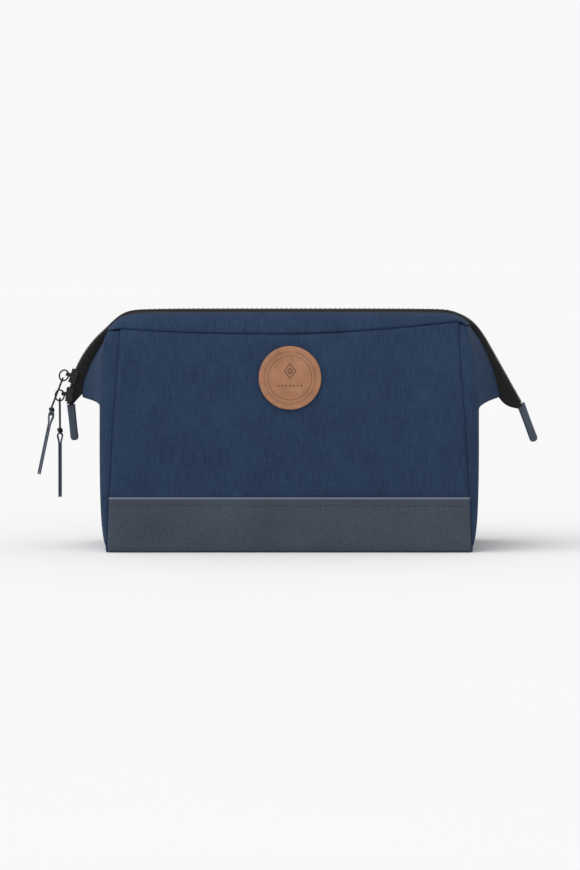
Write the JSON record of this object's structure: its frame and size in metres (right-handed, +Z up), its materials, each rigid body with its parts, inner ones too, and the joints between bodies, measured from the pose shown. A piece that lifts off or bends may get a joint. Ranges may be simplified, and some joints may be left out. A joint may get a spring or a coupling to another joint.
{
  "type": "shaving kit bag",
  "caption": "Framed-mouth wash bag in navy cloth with a coated foot trim, round leather badge, coil zip, hinged wire hoops and long zip pulls.",
  "frame": {"origin": "centre of the base on the floor", "axes": "+X along the bag's width to its right end, -Y out of the front, +Z up"},
  "size_m": [0.3452, 0.1131, 0.165],
  "materials": {
    "navy_cloth": "woven cotton canvas, matt",
    "coated_cloth": "pebbled coated cloth, soft sheen",
    "lining": "plain woven lining",
    "foam": "closed-cell foam",
    "board": "stiff polypropylene board",
    "tan_leather": "smooth tan leather with a stamped ring",
    "steel": "spring steel wire",
    "zip_coil": "black nylon coil",
    "black_metal": "black plated zinc",
    "zip_tape": "black woven tape",
    "cord": "black braided cord",
    "slate_strap": "slate coated cloth strap"
  },
  "bodies": {
    "bag": {"base_board": "board", "base_panel": "navy_cloth", "front_foam": "foam", "front_lining": "lining", "front_panel": "navy_cloth", "front_trim": "coated_cloth", "hinge_rivet_left": "steel", "hinge_rivet_right": "steel", "left_gusset": "navy_cloth", "left_lining": "lining", "lining_base": "lining", "rear_foam": "foam", "rear_lining": "lining", "rear_panel": "navy_cloth", "rear_trim": "coated_cloth", "right_gusset": "navy_cloth", "right_lining": "lining", "tab_left": "slate_strap", "tab_right": "slate_strap", "zip_end_coil_left": "zip_coil", "zip_end_coil_right": "zip_coil", "zip_end_left": "zip_tape", "zip_end_right": "zip_tape", "zip_stop_left": "black_metal", "zip_stop_right": "black_metal"},
    "front_frame": {"front_hoop": "steel", "front_band": "navy_cloth", "front_panel_upper": "navy_cloth", "badge": "tan_leather", "left_ear_front": "navy_cloth", "right_ear_front": "navy_cloth", "front_zip_tape": "zip_tape", "front_zip_coil": "zip_coil"},
    "rear_frame": {"rear_hoop": "steel", "rear_band": "navy_cloth", "rear_panel_upper": "navy_cloth", "left_ear_rear": "navy_cloth", "right_ear_rear": "navy_cloth", "rear_zip_tape": "zip_tape", "rear_zip_coil": "zip_coil"},
    "slider_lower": {"slider_lower": "black_metal"},
    "ring_lower": {"pull_ring_lower": "black_metal"},
    "pull_lower": {"pull_cord_lower": "cord", "cord_knot_lower": "cord", "pull_strap_lower": "slate_strap"},
    "slider_upper": {"slider_upper": "black_metal"},
    "ring_upper": {"pull_ring_upper": "black_metal"},
    "pull_upper": {"pull_cord_upper": "cord", "cord_knot_upper": "cord", "pull_strap_upper": "slate_strap"}
  },
  "joints": [
    {"name": "front_hoop_hinge", "type": "hinge", "parent": "bag", "child": "front_frame", "pos_m": [0, 0, 0.106], "axis": [1, 0, 0], "range_deg": [0, 36], "deforming": ["front_panel_upper", "badge", "left_ear_front", "right_ear_front"]},
    {"name": "rear_hoop_hinge", "type": "hinge", "parent": "bag", "child": "rear_frame", "pos_m": [0, 0, 0.106], "axis": [-1, 0, 0], "range_deg": [0, 36], "deforming": ["rear_panel_upper", "left_ear_rear", "right_ear_rear"]},
    {"name": "slider_lower_run", "type": "hinge", "parent": "bag", "child": "slider_lower", "pos_m": [-0.0826, 0, 0.0961], "axis": [0, -1, 0], "range_deg": [-13, 0]},
    {"name": "slider_upper_run", "type": "hinge", "parent": "slider_lower", "child": "slider_upper", "pos_m": [-0.0826, 0, 0.0961], "axis": [0, -1, 0], "range_deg": [-17, 0]},
    {"name": "ring_lower_swing", "type": "hinge", "parent": "slider_lower", "child": "ring_lower", "pos_m": [-0.15742, 0, 0.10622], "axis": [0, 1, 0], "range_deg": [0, 20]},
    {"name": "ring_upper_swing", "type": "hinge", "parent": "slider_upper", "child": "ring_upper", "pos_m": [-0.15428, 0, 0.11981], "axis": [0, 1, 0], "range_deg": [0, 60]},
    {"name": "pull_lower_swing", "type": "hinge", "parent": "ring_lower", "child": "pull_lower", "pos_m": [-0.15927, 0, 0.10135], "axis": [1, 0, 0], "range_deg": [-40, 40]},
    {"name": "pull_upper_swing", "type": "hinge", "parent": "ring_upper", "child": "pull_upper", "pos_m": [-0.15761, 0, 0.11554], "axis": [1, 0, 0], "range_deg": [-40, 0]}
  ]
}
